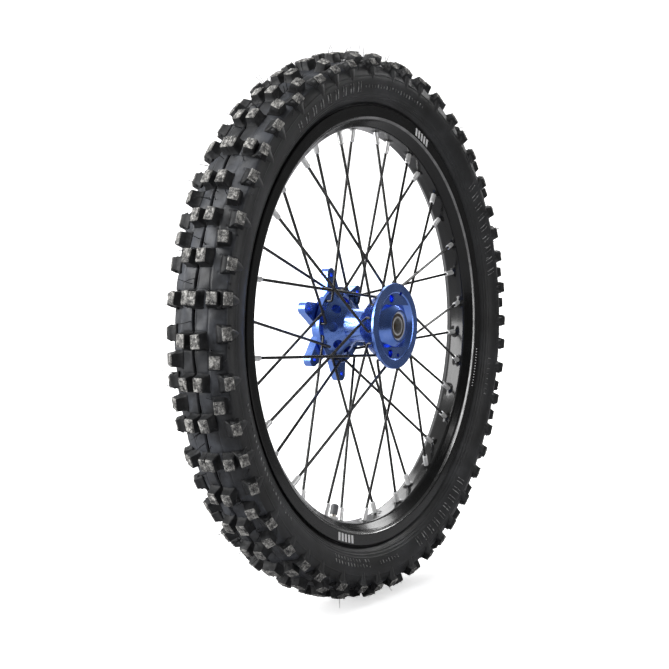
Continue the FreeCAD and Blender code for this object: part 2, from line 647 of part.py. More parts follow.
def ring(name, outer, inner, low_y, high_y):
    """Plain ring about the axle, made of two bound cylinders."""
    parts = []
    for suffix, radius in (("_disc", outer), ("_hole", inner)):
        solid = doc.addObject("Part::Cylinder", name + suffix)
        solid.setExpression("Radius", linked(radius))
        solid.Height = high_y - low_y
        solid.Placement = facing(Y_DIR, V(0, low_y, 0), X_DIR)
        parts.append(solid)
    cut = doc.addObject("Part::Cut", name)
    cut.Base, cut.Tool = parts
    cut.Label = name
    return cut


def grooved(name, outer, inner, centre_y):
    """Bearing race: a plain ring with the ball groove taken out by a torus."""
    half = size("bearing_width") / 2
    blank = ring(name + "_blank", outer, inner, centre_y - half, centre_y + half)
    groove = doc.addObject("Part::Torus", name + "_groove")
    groove.setExpression("Radius1", linked("ball_pitch_rad"))
    groove.setExpression("Radius2", linked("groove_rad"))
    groove.Placement = facing(Y_DIR, V(0, centre_y, 0), X_DIR)
    race = doc.addObject("Part::Cut", name)
    race.Base = blank
    race.Tool = groove
    race.Label = name
    return race


def make_bearing(side_name):
    """One sealed ball bearing as its real pieces."""
    centre = size("bearing_%s_y" % side_name)
    start = "bearing_" + side_name
    pieces = [
        grooved(start + "_outer_race", "race_out_rad", "race_out_in_rad", centre),
        grooved(start + "_inner_race", "race_in_out_rad", "race_in_rad", centre),
    ]
    near, far = size("seal_near"), size("seal_far")
    for label, low, high in (("_seal_right", centre - far, centre - near),
                             ("_seal_left", centre + near, centre + far)):
        pieces.append(ring(start + label, "seal_out_rad", "seal_in_rad", low, high))
    doc.recompute()

    count = int(size("ball_n"))
    places = [polar(size("ball_pitch_rad"), index * 360.0 / count, centre) for index in range(count)]
    balls = doc.addObject("Part::Feature", start + "_balls")
    balls.Shape = Part.makeCompound([Part.makeSphere(size("ball_rad"), place) for place in places])
    half = size("cage_half")
    shell = Part.makeCylinder(size("cage_out_rad"), 2 * half, V(0, centre - half, 0), Y_DIR)
    shell = shell.cut(Part.makeCylinder(size("cage_in_rad"), 2 * half, V(0, centre - half, 0), Y_DIR))
    for place in places:
        outward = V(place.x, 0, place.z).normalize()
        start_point = place - outward * size("cage_pocket_rad")
        shell = shell.cut(Part.makeCylinder(size("cage_pocket_rad"), 2 * size("cage_pocket_rad"),
                                            start_point, outward))
    cage = doc.addObject("Part::Feature", start + "_cage")
    cage.Shape = shell
    for item, label in ((balls, "_balls"), (cage, "_cage")):
        item.Label = start + label
        pieces.append(item)
    return pieces


def make_spacer():
    half, gap = size("bearing_width") / 2, size("spacer_end_gap")
    low = size("bearing_right_y") + half + gap
    high = size("bearing_left_y") - half - gap
    return ring("spacer_tube", "spacer_rad", "race_in_rad", low, high)


# ---------------------------------------------------------------- build, test and write

subparts = [make_rim(), make_tyre(), make_inner_tube(), make_rim_band(), make_hub_shell()]
for group in LACINGS:
    subparts.append(make_spokes(group))
    subparts.append(make_nipples(group))
subparts += make_valve()
subparts += make_bearing("right") + make_bearing("left")
subparts.append(make_spacer())
doc.recompute()

for item in doc.Objects:
    if "Invalid" in item.State or "Error" in item.State:
        raise RuntimeError(item.Name + " did not recompute")
os.makedirs("parts", exist_ok=True)
for item in subparts:
    if item.Shape.isNull() or not item.Shape.isValid() or not item.Shape.Solids:
        raise RuntimeError(item.Label + " has no valid shape")
    item.Shape.exportStep("parts/" + item.Label + ".step")
    print(item.Label, len(item.Shape.Solids), round(item.Shape.Volume))
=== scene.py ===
"""Looks of the off-road front wheel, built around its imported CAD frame.

Metres, in the row's frame: origin at the wheel's centre, +Y along the axle towards the disc side,
+X forwards, +Z up. Sizes below are in millimetres where a name says so, and MM turns them to metres.
"""

import json
import math
import random

import bmesh
import bpy
import numpy as np
from mathutils import Matrix, Vector


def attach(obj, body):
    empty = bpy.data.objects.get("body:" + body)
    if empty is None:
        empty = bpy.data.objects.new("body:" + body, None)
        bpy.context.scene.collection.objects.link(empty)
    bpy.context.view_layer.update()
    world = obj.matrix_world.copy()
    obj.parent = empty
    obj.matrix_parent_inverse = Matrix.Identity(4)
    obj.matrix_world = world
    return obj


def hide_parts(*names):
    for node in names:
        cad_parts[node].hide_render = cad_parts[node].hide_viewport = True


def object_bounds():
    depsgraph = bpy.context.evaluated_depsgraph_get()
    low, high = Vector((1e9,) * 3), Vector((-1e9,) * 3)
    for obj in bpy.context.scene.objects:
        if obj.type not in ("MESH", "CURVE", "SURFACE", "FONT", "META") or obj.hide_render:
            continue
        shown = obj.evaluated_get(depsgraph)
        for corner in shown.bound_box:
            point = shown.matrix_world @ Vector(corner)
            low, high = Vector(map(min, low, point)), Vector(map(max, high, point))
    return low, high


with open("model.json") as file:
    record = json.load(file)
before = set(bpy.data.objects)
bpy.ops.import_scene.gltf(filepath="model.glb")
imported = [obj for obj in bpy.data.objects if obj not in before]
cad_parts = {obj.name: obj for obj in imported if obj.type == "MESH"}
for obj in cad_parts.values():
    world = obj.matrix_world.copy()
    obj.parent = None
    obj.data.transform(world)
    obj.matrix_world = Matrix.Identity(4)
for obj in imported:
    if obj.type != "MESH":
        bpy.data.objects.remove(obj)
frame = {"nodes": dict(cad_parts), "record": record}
cad_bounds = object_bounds()

MM = 0.001
WHEEL = "wheel"
rng = random.Random(21)


# ------------------------------------------------------------------ camera, light and floor

VIEW_AZIMUTH = math.radians(-57.76)
VIEW_ELEVATION = math.radians(0.54)
VIEW_ROLL = math.radians(0.89)
VIEW_DISTANCE = 1.400
VIEW_LENS = 57.75
VIEW_SHIFT = (-0.0486, -0.0136)


def make_camera():
    """Camera that looks at the wheel's centre from the front right, almost level with the axle."""
    az, el, roll = VIEW_AZIMUTH, VIEW_ELEVATION, VIEW_ROLL
    back = Vector((math.sin(az) * math.cos(el), -math.cos(az) * math.cos(el), math.sin(el)))
    right = Vector((math.cos(az), math.sin(az), 0))
    up = back.cross(right)
    rolled_right = right * math.cos(roll) + up * math.sin(roll)
    rolled_up = up * math.cos(roll) - right * math.sin(roll)
    data = bpy.data.cameras.new("camera")
    data.lens = VIEW_LENS
    data.sensor_width = 36
    data.shift_x, data.shift_y = VIEW_SHIFT
    data.clip_start = 0.01
    camera = bpy.data.objects.new("camera", data)
    axes = Matrix((rolled_right, rolled_up, back)).transposed().to_4x4()
    camera.matrix_world = Matrix.Translation(back * VIEW_DISTANCE) @ axes
    bpy.context.collection.objects.link(camera)
    bpy.context.scene.camera = camera


def area_light(name, place, target, width, power):
    data = bpy.data.lights.new(name, "AREA")
    data.shape = "RECTANGLE"
    data.size, data.size_y = width
    data.energy = power
    lamp = bpy.data.objects.new(name, data)
    lamp.location = place
    lamp.rotation_euler = (Vector(target) - Vector(place)).to_track_quat("-Z", "Y").to_euler()
    bpy.context.collection.objects.link(lamp)
    return lamp


TOWARDS_VIEWER = Vector((math.sin(VIEW_AZIMUTH), -math.cos(VIEW_AZIMUTH), 0))
VIEWER_RIGHT = Vector((math.cos(VIEW_AZIMUTH), math.sin(VIEW_AZIMUTH), 0))


def studio_place(near, right, up):
    """Place in the studio, in metres towards the viewer, to the viewer's right, and up."""
    return TOWARDS_VIEWER * near + VIEWER_RIGHT * right + Vector((0, 0, up))


def make_surround():
    """White paper all round to look at, and light that falls off towards the wheel's right side."""
    scene = bpy.context.scene
    scene.view_settings.view_transform = "Standard"
    world = bpy.data.worlds.new("surround")
    scene.world = world
    world.use_nodes = True
    tree = world.node_tree
    white = tree.nodes["Background"]
    white.inputs["Color"].default_value = (1, 1, 1, 1)
    glow = tree.nodes.new("ShaderNodeBackground")
    direction = tree.nodes.new("ShaderNodeTexCoord")
    split = tree.nodes.new("ShaderNodeSeparateXYZ")
    fall = tree.nodes.new("ShaderNodeMapRange")
    fall.interpolation_type = "SMOOTHSTEP"
    for socket, value in (("From Min", -0.75), ("From Max", 0.45), ("To Min", 0.09), ("To Max", 1.0)):
        fall.inputs[socket].default_value = value
    path = tree.nodes.new("ShaderNodeLightPath")
    mix = tree.nodes.new("ShaderNodeMixShader")
    tree.links.new(direction.outputs["Generated"], split.inputs[0])
    tree.links.new(split.outputs["Y"], fall.inputs["Value"])
    tree.links.new(fall.outputs["Result"], glow.inputs["Strength"])
    tree.links.new(path.outputs["Is Camera Ray"], mix.inputs["Fac"])
    tree.links.new(glow.outputs[0], mix.inputs[1])
    tree.links.new(white.outputs[0], mix.inputs[2])
    tree.links.new(mix.outputs[0], tree.nodes["World Output"].inputs["Surface"])


def make_lights():
    centre = (0, 0, 0)
    area_light("tread_side", studio_place(0.9, -1.9, 0.7), centre, (0.9, 1.7), 46)
    area_light("over_tread", studio_place(1.2, -0.9, 1.9), centre, (0.8, 0.8), 24)
    area_light("lip_strip", studio_place(0.96, 1.87, 0.5), centre, (0.6, 1.9), 12)
    area_light("lip_high", studio_place(-1.29, 1.46, 1.03), centre, (0.5, 0.5), 6)
    area_light("behind", studio_place(-1.8, -0.2, 1.3), centre, (1.4, 1.4), 26)


def make_floor():
    """Pale paper that lies under the wheel and curves up into a wall behind it."""
    floor_z = cad_bounds[0].z - 0.0005
    pale = bpy.data.materials.new("floor_paper")
    pale.use_nodes = True
    shader = pale.node_tree.nodes["Principled BSDF"]
    shader.inputs["Base Color"].default_value = (0.95, 0.95, 0.955, 1)
    shader.inputs["Roughness"].default_value = 0.9
    shader.inputs["Specular IOR Level"].default_value = 0.1
    shader.inputs["Emission Color"].default_value = (1, 1, 1, 1)
    shader.inputs["Emission Strength"].default_value = 0.6
    tree = pale.node_tree
    dim = tree.nodes.new("ShaderNodeBsdfDiffuse")
    dim.inputs["Color"].default_value = (0.45, 0.45, 0.46, 1)
    path = tree.nodes.new("ShaderNodeLightPath")
    mix = tree.nodes.new("ShaderNodeMixShader")
    tree.links.new(path.outputs["Is Camera Ray"], mix.inputs["Fac"])
    tree.links.new(dim.outputs[0], mix.inputs[1])
    tree.links.new(shader.outputs[0], mix.inputs[2])
    tree.links.new(mix.outputs[0], tree.nodes["Material Output"].inputs["Surface"])
    reach, bend, half_width, wall = 1.2, 1.2, 1.5, 4.0
    rows = [(-1.2, 0.0), (reach, 0.0)]
    bend_steps = 12
    for step in range(1, bend_steps + 1):
        angle = math.pi / 2 * step / bend_steps
        rows.append((reach + bend * math.sin(angle), bend * (1 - math.cos(angle))))
    rows.append((reach + bend, wall))
    points = [studio_place(-depth, sideways, floor_z + height)
              for depth, height in rows for sideways in (-half_width, half_width)]
    faces = [(2 * row, 2 * row + 1, 2 * row + 3, 2 * row + 2) for row in range(len(rows) - 1)]
    mesh = bpy.data.meshes.new("floor")
    mesh.from_pydata(points, [], faces)
    mesh.materials.append(pale)
    mesh.polygons.foreach_set("use_smooth", [True] * len(faces))
    floor = bpy.data.objects.new("floor", mesh)
    bpy.context.collection.objects.link(floor)


# ------------------------------------------------------------------ material helpers

class Finish:
    """A node material under construction: a Principled shader and the nodes that feed it."""

    def __init__(self, name, colour, roughness, metallic=0.0, **sockets):
        self.material = bpy.data.materials.new(name)
        self.material.use_nodes = True
        self.tree = self.material.node_tree
        self.shader = self.tree.nodes["Principled BSDF"]
        self.shader.inputs["Base Color"].default_value = (*colour, 1)
        self.shader.inputs["Roughness"].default_value = roughness
        self.shader.inputs["Metallic"].default_value = metallic
        for socket, value in sockets.items():
            self.shader.inputs[socket.replace("_", " ").title().replace("Ior", "IOR")].default_value = value
        self.material.diffuse_color = (*colour, 1)
        self.object_coords = self.node("ShaderNodeTexCoord").outputs["Object"]
        self.normal = None

    def node(self, kind, **settings):
        made = self.tree.nodes.new(kind)
        for key, value in settings.items():
            setattr(made, key, value)
        return made

    def link(self, source, target):
        self.tree.links.new(source, target)

    def math(self, operation, first, second=None):
        node = self.node("ShaderNodeMath", operation=operation)
        for socket, value in zip(node.inputs, (first, second)):
            if value is None:
                continue
            if isinstance(value, (int, float)):
                socket.default_value = value
            else:
                self.link(value, socket)
        return node.outputs[0]

    def noise(self, scale, detail=4.0, coords=None, roughness=0.55):
        node = self.node("ShaderNodeTexNoise")
        node.inputs["Scale"].default_value = scale
        node.inputs["Detail"].default_value = detail
        node.inputs["Roughness"].default_value = roughness
        self.link(coords or self.object_coords, node.inputs["Vector"])
        return node.outputs["Fac"]

    def turned_coords(self, along_radius, along_axle, around=0.0):
        """Coordinates that change along the radius and the axle but hardly around the wheel."""
        split = self.node("ShaderNodeSeparateXYZ")
        self.link(self.object_coords, split.inputs[0])
        x_square = self.math("MULTIPLY", split.outputs[0], split.outputs[0])
        z_square = self.math("MULTIPLY", split.outputs[2], split.outputs[2])
        radius = self.math("SQRT", self.math("ADD", x_square, z_square))
        turn = self.math("ARCTAN2", split.outputs[2], split.outputs[0])
        join = self.node("ShaderNodeCombineXYZ")
        self.link(self.math("MULTIPLY", radius, along_radius), join.inputs[0])
        self.link(self.math("MULTIPLY", split.outputs[1], along_axle), join.inputs[1])
        self.link(self.math("MULTIPLY", turn, around), join.inputs[2])
        return join.outputs[0]

    def ramp(self, value, stops):
        node = self.node("ShaderNodeValToRGB")
        elements = node.color_ramp.elements
        while len(elements) < len(stops):
            elements.new(0.5)
        for element, (place, colour) in zip(elements, stops):
            element.position = place
            element.color = (*colour, 1)
        self.link(value, node.inputs[0])
        return node.outputs[0]

    def colour_from(self, value, stops):
        self.link(self.ramp(value, stops), self.shader.inputs["Base Color"])

    def roughness_from(self, value, low, high):
        node = self.node("ShaderNodeMapRange")
        node.inputs["To Min"].default_value = low
        node.inputs["To Max"].default_value = high
        self.link(value, node.inputs["Value"])
        self.link(node.outputs[0], self.shader.inputs["Roughness"])

    def bump(self, value, strength, distance):
        node = self.node("ShaderNodeBump")
        node.inputs["Strength"].default_value = strength
        node.inputs["Distance"].default_value = distance
        self.link(value, node.inputs["Height"])
        if self.normal is not None:
            self.link(self.normal, node.inputs["Normal"])
        self.normal = node.outputs[0]
        self.link(self.normal, self.shader.inputs["Normal"])


def grey(value, blue=0.0):
    return (value, value * (1 + blue * 0.3), value * (1 + blue))


def rubber_pad():
    f = Finish("rubber_pad", grey(0.03, 0.2), 0.45, specular_ior_level=0.35)
    cloud = f.noise(26, 5, roughness=0.6)
    f.colour_from(cloud, [(0.34, grey(0.009, 0.1)), (0.5, grey(0.022, 0.25)), (0.68, grey(0.062, 0.25))])
    f.roughness_from(f.noise(70, 4), 0.3, 0.65)
    f.bump(f.noise(850, 3), 0.3, 0.0002)
    f.bump(f.noise(60, 4), 0.35, 0.0012)
    return f.material


# Near-black rubber in the centre groove, far darker than the pads' rubber: painted shade in the recess.
def rubber_groove_painted_shade():
    f = Finish("rubber_groove_painted_shade", grey(0.003), 0.8, specular_ior_level=0.1)
    f.colour_from(f.noise(200, 3), [(0.4, grey(0.002)), (0.8, grey(0.006))])
    f.bump(f.noise(700, 2), 0.2, 0.0002)
    return f.material


def rubber_block_side():
    f = Finish("rubber_block_side", grey(0.012, 0.1), 0.5, specular_ior_level=0.3)
    streak = f.noise(160, 5, roughness=0.65)
    f.colour_from(streak, [(0.35, grey(0.006)), (0.6, grey(0.016, 0.15)), (0.8, grey(0.04, 0.1))])
    f.roughness_from(f.noise(200, 3), 0.38, 0.7)
    f.bump(f.noise(500, 4), 0.4, 0.0004)
    return f.material


# Light grey speckled block tops: partly lighter worn rubber, partly painted light, the tops painted as lit
# and far paler than the block sides.
def rubber_block_top_wear_and_painted_light():
    f = Finish("rubber_block_top_wear_and_painted_light", grey(0.16), 0.85, specular_ior_level=0.3)
    speckle = f.noise(190, 10, roughness=0.85)
    f.colour_from(speckle, [(0.37, grey(0.012)), (0.45, grey(0.07)), (0.53, (0.24, 0.235, 0.225)),
                            (0.64, (0.74, 0.73, 0.69))])
    f.roughness_from(f.noise(300, 3), 0.65, 0.95)
    f.bump(speckle, 0.8, 0.0009)
    return f.material


def rubber_sidewall():
    f = Finish("rubber_sidewall", grey(0.015), 0.45, specular_ior_level=0.4)
    rings = f.noise(1.0, 4, f.turned_coords(800, 250, 1.5), roughness=0.65)
    cloud = f.noise(16, 5, roughness=0.6)
    f.colour_from(cloud, [(0.34, grey(0.011)), (0.55, grey(0.022, 0.1)), (0.75, grey(0.05, 0.1))])
    f.roughness_from(f.noise(40, 4), 0.34, 0.6)
    f.bump(rings, 0.3, 0.0004)
    f.bump(f.noise(1200, 2), 0.15, 0.00015)
    return f.material


# Mid grey on the raised moulded marks, which are black rubber like the sidewall: a painted highlight where
# light catches them.
def rubber_mark_painted_highlight():
    f = Finish("rubber_mark_painted_highlight", grey(0.1), 0.6)
    f.colour_from(f.noise(180, 5, roughness=0.7), [(0.4, grey(0.04)), (0.5, grey(0.18)), (0.62, grey(0.42))])
    f.bump(f.noise(900, 3), 0.3, 0.0002)
    return f.material


def rim_black():
    f = Finish("rim_gloss_black", grey(0.004), 0.14, coat_weight=0.15, coat_roughness=0.04,
               specular_ior_level=0.35)
    drawn = f.noise(1.0, 4, f.turned_coords(600, 600, 2.5))
    f.colour_from(f.noise(60, 4), [(0.4, grey(0.003)), (0.8, grey(0.008, 0.1))])
    f.roughness_from(drawn, 0.1, 0.26)
    f.bump(drawn, 0.05, 0.0002)
    return f.material


# Lighter grey metal on the bevel of the black rim's lip: a painted highlight along the lip.
def painted_lip_highlight():
    f = Finish("lip_bevel_painted_highlight", grey(0.2), 0.18, metallic=1.0)
    f.colour_from(f.noise(50, 4), [(0.35, grey(0.16)), (0.7, grey(0.3))])
    f.roughness_from(f.noise(1.0, 4, f.turned_coords(600, 600, 2.5)), 0.12, 0.3)
    f.bump(f.noise(900, 2), 0.04, 0.0001)
    return f.material


def white_print():
    f = Finish("white_print", grey(0.85), 0.4)
    f.colour_from(f.noise(500, 3), [(0.3, grey(0.74)), (0.7, grey(0.88))])
    f.bump(f.noise(1500, 2), 0.05, 0.00005)
    return f.material


def hub_blue():
    f = Finish("hub_blue_anodised", (0.16, 0.28, 0.8), 0.2, metallic=1.0)
    turned = f.noise(1.0, 6, f.turned_coords(1300, 1300, 0.5), roughness=0.7)
    f.colour_from(f.noise(38, 5), [(0.3, (0.13, 0.25, 0.72)), (0.55, (0.20, 0.34, 0.86)),
                                   (0.78, (0.32, 0.46, 0.92))])
    f.roughness_from(turned, 0.16, 0.32)
    f.bump(turned, 0.05, 0.0002)
    return f.material


def spoke_black():
    f = Finish("spoke_black", grey(0.06), 0.22, metallic=0.85)
    f.colour_from(f.noise(300, 3), [(0.35, grey(0.035)), (0.75, grey(0.09))])
    f.roughness_from(f.noise(500, 3), 0.16, 0.34)
    f.bump(f.noise(1500, 2), 0.08, 0.0001)
    return f.material


def nipple_silver():
    f = Finish("nipple_silver", grey(0.8), 0.25, metallic=0.45)
    f.colour_from(f.noise(400, 4), [(0.3, grey(0.66)), (0.6, grey(0.9)), (0.85, grey(0.95))])
    f.roughness_from(f.noise(600, 3), 0.12, 0.32)
    f.bump(f.noise(1800, 2), 0.12, 0.0001)
    return f.material


def plated_brass():
    f = Finish("plated_brass", grey(0.62), 0.28, metallic=1.0)
    f.colour_from(f.noise(300, 4), [(0.3, (0.46, 0.43, 0.37)), (0.7, (0.74, 0.72, 0.66))])
    f.roughness_from(f.noise(400, 3), 0.2, 0.42)
    f.bump(f.noise(1600, 2), 0.1, 0.0001)
    return f.material


def cap_plastic():
    f = Finish("cap_plastic", grey(0.11), 0.45)
    f.colour_from(f.noise(250, 3), [(0.3, grey(0.08, 0.08)), (0.8, grey(0.16, 0.08))])
    f.bump(f.noise(1500, 3), 0.2, 0.0001)
    f.roughness_from(f.noise(500, 3), 0.38, 0.55)
    return f.material


def bearing_steel():
    f = Finish("bearing_steel", grey(0.6), 0.25, metallic=0.6)
    ground = f.noise(1.0, 4, f.turned_coords(4000, 4000, 0.5))
    f.colour_from(f.noise(120, 3), [(0.3, grey(0.62)), (0.8, grey(0.9))])
    f.roughness_from(ground, 0.15, 0.35)
    f.bump(ground, 0.05, 0.0001)
    return f.material


def race_edge():
    f = Finish("race_edge", grey(0.85), 0.3, metallic=0.3)
    f.colour_from(f.noise(120, 3), [(0.3, grey(0.8)), (0.8, grey(0.95))])
    f.roughness_from(f.noise(300, 3), 0.22, 0.4)
    f.bump(f.noise(1.0, 4, f.turned_coords(4000, 4000, 0.5)), 0.05, 0.0001)
    return f.material


def spacer_alloy():
    f = Finish("spacer_alloy", (0.75, 0.7, 0.6), 0.4, metallic=0.9)
    f.colour_from(f.noise(90, 4), [(0.35, (0.32, 0.24, 0.14)), (0.75, (0.85, 0.78, 0.62))])
    f.roughness_from(f.noise(1.0, 4, f.turned_coords(2500, 900, 0.5)), 0.3, 0.55)
    f.bump(f.noise(700, 3), 0.1, 0.0001)
    return f.material


def seal_rubber():
    f = Finish("seal_rubber", (0.05, 0.03, 0.018), 0.45)
    f.colour_from(f.noise(300, 3), [(0.3, (0.025, 0.017, 0.01)), (0.8, (0.09, 0.06, 0.03))])
    f.bump(f.noise(1.0, 3, f.turned_coords(3000, 500, 0.4)), 0.2, 0.0002)
    f.roughness_from(f.noise(500, 3), 0.35, 0.6)
    return f.material


def cage_nylon():
    f = Finish("cage_nylon", (0.35, 0.22, 0.09), 0.5)
    f.colour_from(f.noise(300, 3), [(0.3, (0.28, 0.17, 0.07)), (0.8, (0.42, 0.28, 0.12))])
    f.bump(f.noise(1500, 2), 0.1, 0.0001)
    return f.material


def tube_rubber():
    f = Finish("tube_rubber", grey(0.02), 0.55)
    f.colour_from(f.noise(60, 4), [(0.3, grey(0.014)), (0.8, grey(0.03))])
    f.bump(f.noise(700, 3), 0.2, 0.0002)
    return f.material


MATERIALS = {
    "tyre_rubber": rubber_sidewall(), "tube_rubber": tube_rubber(), "rim_black": rim_black(),
    "hub_blue": hub_blue(), "spoke_black": spoke_black(), "nipple_silver": nipple_silver(),
    "brass_plated": plated_brass(), "cap_plastic": cap_plastic(), "bearing_steel": bearing_steel(),
    "cage_plastic": cage_nylon(), "seal_rubber": seal_rubber(), "spacer_alloy": spacer_alloy(),
}


def dress_cad_nodes():
    """Every CAD node gets the material of its slot."""
    for entry in frame["record"]["subparts"]:
        mesh = frame["nodes"][entry["node"]].data
        mesh.materials.clear()
        outer_race = entry["node"].endswith("outer_race")
        mesh.materials.append(race_edge() if outer_race else MATERIALS[entry["material_slot"]])


# ------------------------------------------------------------------ mesh helpers

def add_piece(name, points, faces, materials, face_materials=None, smooth=True):
    """A mesh object from points in millimetres."""
    mesh = bpy.data.meshes.new(name)
    mesh.from_pydata((np.asarray(points) * MM).tolist(), [], faces)
    for item in materials:
        mesh.materials.append(item)
    if face_materials is not None:
        mesh.polygons.foreach_set("material_index", face_materials)
    mesh.polygons.foreach_set("use_smooth", [smooth] * len(mesh.polygons))
    mesh.update()
    piece = bpy.data.objects.new(name, mesh)
    bpy.context.collection.objects.link(piece)
    return piece


def around_wheel(radius, y, degrees):
    """Point at a radius, a distance along the axle and an angle around the wheel."""
    angle = np.radians(degrees)
    return np.stack(np.broadcast_arrays(radius * np.cos(angle), y, radius * np.sin(angle)), -1)


def arc_points(start, middle, end, count):
    """Points on the circle through three points, without the last one."""
    (ax, ay), (bx, by), (cx, cy) = start, middle, end
    d = 2 * (ax * (by - cy) + bx * (cy - ay) + cx * (ay - by))
    ux = ((ax**2 + ay**2) * (by - cy) + (bx**2 + by**2) * (cy - ay) + (cx**2 + cy**2) * (ay - by)) / d
    uy = ((ax**2 + ay**2) * (cx - bx) + (bx**2 + by**2) * (ax - cx) + (cx**2 + cy**2) * (bx - ax)) / d
    radius = math.hypot(ax - ux, ay - uy)
    angles = np.unwrap([math.atan2(p[1] - uy, p[0] - ux) for p in (start, middle, end)])
    turn = np.linspace(angles[0], angles[2], count, endpoint=False)
    return [(ux + radius * math.cos(t), uy + radius * math.sin(t)) for t in turn]


def line_points(start, end, count):
    share = np.linspace(0, 1, count, endpoint=False)
    return [(start[0] + (end[0] - start[0]) * s, start[1] + (end[1] - start[1]) * s) for s in share]


def grid_faces(rows, columns):
    """Quads of a grid of points stored row by row."""
    i = np.arange(rows)
    j = np.arange(columns)
    i, j = np.meshgrid(i, j, indexing="ij")
    i2, j2 = (i + 1) % rows, (j + 1) % columns
    quads = np.stack([i * columns + j, i2 * columns + j, i2 * columns + j2, i * columns + j2], -1)
    return quads.reshape(-1, 4)


# ------------------------------------------------------------------ tyre

TREAD_ROWS = 12
TREAD_PHASE_DEG = 25.3
# Tread blocks in one twelfth of the tread, as in the CAD model: degrees from the row, distance of
# the middle from the centre plane, lean, width, length and radius of the top, and the kind of block.
BLOCKS = [
    (0.0, 4.8, 2, 8.6, 14.0, 348.5, "centre"), (7.5, 10.0, 5, 10.5, 14.5, 348.0, "centre"),
    (15.0, 10.0, 5, 10.5, 14.5, 348.0, "centre"), (22.5, 10.0, 5, 10.5, 14.5, 348.0, "centre"),
    (0.0, 27.5, 24, 10.5, 13.0, 344.0, "middle"), (11.0, 31.0, 30, 10.5, 13.0, 342.5, "middle"),
    (19.0, 31.0, 30, 10.5, 13.0, 342.5, "middle"),
    (0.0, 41.5, 55, 9.5, 13.0, 333.0, "shoulder"), (6.2, 41.5, 55, 9.5, 13.0, 333.0, "shoulder"),
    (15.0, 41.5, 55, 9.5, 13.0, 333.0, "shoulder"), (23.6, 41.5, 55, 9.5, 13.0, 333.0, "shoulder"),
]
CROWN_R, SHOULDER_R, SHOULDER_Y = 337.0, 327.0, 35.0
GROOVE_HALF, GROOVE_DEEP = 2.0, 4.2
# Uneven flow of the rubber between the blocks: waves per row, mm across per radian, phase, height.
UNDULATIONS = ((1, 9.0, 0.4, 0.35), (3, -7.0, 1.9, 0.4), (5, 5.0, 4.0, 0.3), (8, -4.0, 2.2, 0.18))
# Places of the tyre's materials in its mesh.
PAD, BLOCK_SIDE, BLOCK_TOP_WORN_AND_LIT, SIDEWALL, GROOVE_PAINTED_SHADE, MARK_PAINTED_HIGHLIGHT = range(6)
BLOCK_HEIGHT = {"centre": 11.5, "middle": 12.5, "shoulder": 10.0}
# Bands of the tread, by distance from the centre plane, that the joints at a block's ends cross.
JOINT_BAND = {"centre": (0, 17.5), "middle": (17.5, 35.5), "shoulder": (24.0, 40.0)}
PAD_RISE, RELIEF_FLOOR = 0.9, -2.8
TREAD_MID_R = 340
CROWN_CURVE = (SHOULDER_Y**2 + (CROWN_R - SHOULDER_R) ** 2) / (2 * (CROWN_R - SHOULDER_R))


def tread_surface_r(y):
    """Radius of the carcass under the tread at a distance from the centre plane."""
    y = np.minimum(np.abs(y), SHOULDER_Y)
    return CROWN_R - CROWN_CURVE + np.sqrt(CROWN_CURVE**2 - y**2)


# Thin moulded rings round the sidewall: radius, half width, height.
SIDEWALL_RINGS = ((288.6, 0.8, 0.55), (291.6, 0.8, 0.55), (295.0, 0.6, 0.35), (316.0, 0.9, 0.5))


def groove_depth(distance, width, depth):
    return depth * np.clip(1 - (np.abs(distance) / width) ** 2, 0, 1)


def tyre_half_section():
    """Outside of the tyre on one side, from the bead's toe up to the shoulder: (radius, y)."""
    bead = (line_points((267.5, 14.5), (267.5, 19.2), 3)
            + line_points((268.2, 19.8), (283.2, 20.6), 6)
            + arc_points((283.2, 20.6), (284.6, 23.6), (286.8, 26.2), 4))
    wall = (arc_points((286.8, 26.2), (297.0, 33.6), (309.0, 38.0), 60)
            + arc_points((309.0, 38.0), (318.5, 38.3), (SHOULDER_R, SHOULDER_Y), 40))
    return bead + [(r, y + sum(groove_depth(r - at, half, rise) for at, half, rise in SIDEWALL_RINGS))
                   for r, y in wall]


def cavity_half_section():
    return (arc_points((325.0, 27.0), (320.0, 32.0), (310.0, 33.6), 6)
            + arc_points((310.0, 33.6), (297.5, 28.6), (284.0, 15.0), 8)
            + line_points((284.0, 15.0), (267.5, 14.5), 5))


def tread_relief(row_degrees, y):
    """How far the carcass stands out or in between the blocks: moulded pads with joints between."""
    arc_per_degree = math.radians(1) * TREAD_MID_R
    relief = np.full(np.broadcast(row_degrees, y).shape, PAD_RISE)
    across = np.abs(y)
    relief = relief - groove_depth(y, GROOVE_HALF, GROOVE_DEEP)
    relief = relief + groove_depth(y + GROOVE_HALF + 0.9, 0.7, 0.5)
    relief = relief - groove_depth(across - 17.5, 1.2, 0.5)
    for waves, across_mm, phase, height in UNDULATIONS:
        relief = relief + height * np.sin(np.radians(row_degrees * waves * TREAD_ROWS) + phase
                                          + y / across_mm)
    for degrees, _, _, _, length, _, kind in BLOCKS:
        for neighbour in (-360 / TREAD_ROWS, 0, 360 / TREAD_ROWS):
            for end in (-1, 1):
                joint = (row_degrees - degrees - neighbour) * arc_per_degree - end * (length / 2 + 2.6)
                inside = (across >= JOINT_BAND[kind][0]) & (across <= JOINT_BAND[kind][1])
                relief = relief - np.where(inside, groove_depth(joint, 1.1, 0.8), 0)
    return np.maximum(relief, RELIEF_FLOOR)


